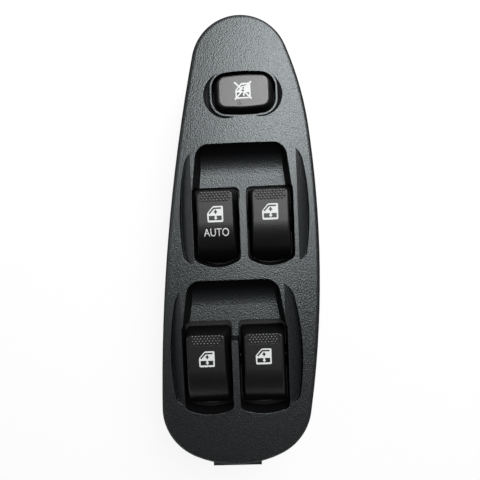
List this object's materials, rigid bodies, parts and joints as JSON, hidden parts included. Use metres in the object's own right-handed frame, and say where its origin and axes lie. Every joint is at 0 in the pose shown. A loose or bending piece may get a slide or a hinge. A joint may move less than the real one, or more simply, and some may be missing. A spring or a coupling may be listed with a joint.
{
  "type": "power window switch",
  "caption": "Door-mounted power window switch panel with rocking window keys and a lock button over a switch body with a harness inlet.",
  "frame": {"origin": "middle of the whole part in X and Y, on the underside of the rear cover", "axes": "+X along a row of keys, +Y towards the lock button, +Z out of the face of the panel"},
  "size_m": [0.0733, 0.2033, 0.0413],
  "materials": {
    "trim_plastic": "fine sand grain, satin",
    "key_plastic": "smooth, matt",
    "body_plastic": "moulded",
    "guide_plastic": "moulded, natural",
    "relay_plastic": "moulded",
    "chip_plastic": "moulded",
    "board": "coated laminate",
    "copper": "rolled",
    "pin_brass": "tinned",
    "spring_steel": "rolled",
    "screw_steel": "zinc plated",
    "capacitor_can": "sleeved can"
  },
  "bodies": {
    "switch_body": {"bezel": "trim_plastic", "switch_housing": "body_plastic", "rear_cover": "body_plastic", "circuit_board": "board", "contact_tracks": "copper", "front_slider_guide": "guide_plastic", "rear_slider_guide": "guide_plastic", "auto_up_relay": "relay_plastic", "auto_down_relay": "relay_plastic", "control_chip": "chip_plastic", "capacitor": "capacitor_can", "connector_header": "guide_plastic", "connector_pins": "pin_brass", "lock_latch_wire": "spring_steel", "lock_spring": "spring_steel", "lock_switch_case": "body_plastic", "retaining_clip": "spring_steel", "panel_screws": "screw_steel", "cover_screws": "screw_steel", "auto_springs": "spring_steel", "front_springs": "spring_steel", "rear_left_springs": "spring_steel", "rear_right_springs": "spring_steel"},
    "auto_key": {"auto_window_key": "key_plastic"},
    "auto_slide_body": {"auto_slider": "guide_plastic", "auto_contact_bridge": "copper"},
    "front_key": {"front_window_key": "key_plastic"},
    "front_slide_body": {"front_slider": "guide_plastic", "front_contact_bridge": "copper"},
    "rear_left_key": {"rear_left_window_key": "key_plastic"},
    "rear_left_slide_body": {"rear_left_slider": "guide_plastic", "rear_left_contact_bridge": "copper"},
    "rear_right_key": {"rear_right_window_key": "key_plastic"},
    "rear_right_slide_body": {"rear_right_slider": "guide_plastic", "rear_right_contact_bridge": "copper"},
    "lock_body": {"lock_button": "key_plastic", "lock_plunger": "guide_plastic", "lock_contact": "copper"}
  },
  "joints": [
    {"name": "auto_rock", "type": "hinge", "parent": "switch_body", "child": "auto_key", "pos_m": [-0.00805, 0.0117, 0.022], "axis": [1, 0, 0], "range_deg": [-7, 7], "stiffness_Nm_per_rad": 0.35},
    {"name": "auto_contact_slide", "type": "slide", "parent": "switch_body", "child": "auto_slide_body", "axis": [0, 1, 0], "range_m": [-0.0016, 0.0016], "deforming": ["auto_springs"]},
    {"name": "front_rock", "type": "hinge", "parent": "switch_body", "child": "front_key", "pos_m": [0.01555, 0.0117, 0.022], "axis": [1, 0, 0], "range_deg": [-7, 7], "stiffness_Nm_per_rad": 0.35},
    {"name": "front_contact_slide", "type": "slide", "parent": "switch_body", "child": "front_slide_body", "axis": [0, 1, 0], "range_m": [-0.0016, 0.0016], "deforming": ["front_springs"]},
    {"name": "rear_left_rock", "type": "hinge", "parent": "switch_body", "child": "rear_left_key", "pos_m": [-0.0146, -0.0522, 0.0205], "axis": [1, 0, 0], "range_deg": [-7, 7], "stiffness_Nm_per_rad": 0.35},
    {"name": "rear_left_contact_slide", "type": "slide", "parent": "switch_body", "child": "rear_left_slide_body", "axis": [0, 1, 0], "range_m": [-0.0016, 0.0016], "deforming": ["rear_left_springs"]},
    {"name": "rear_right_rock", "type": "hinge", "parent": "switch_body", "child": "rear_right_key", "pos_m": [0.0104, -0.0522, 0.0205], "axis": [1, 0, 0], "range_deg": [-7, 7], "stiffness_Nm_per_rad": 0.35},
    {"name": "rear_right_contact_slide", "type": "slide", "parent": "switch_body", "child": "rear_right_slide_body", "axis": [0, 1, 0], "range_m": [-0.0016, 0.0016], "deforming": ["rear_right_springs"]},
    {"name": "lock_push", "type": "slide", "parent": "switch_body", "child": "lock_body", "axis": [0, 0, -1], "range_m": [0, 0.0026], "stiffness_N_per_m": 700, "springref_m": -0.002, "deforming": ["lock_spring", "lock_latch_wire"]}
  ],
  "couplings": [
    {"joint": "auto_contact_slide", "follows": "auto_rock", "m_per_rad": 0.0101},
    {"joint": "front_contact_slide", "follows": "front_rock", "m_per_rad": 0.0101},
    {"joint": "rear_left_contact_slide", "follows": "rear_left_rock", "m_per_rad": 0.0086},
    {"joint": "rear_right_contact_slide", "follows": "rear_right_rock", "m_per_rad": 0.0086}
  ]
}
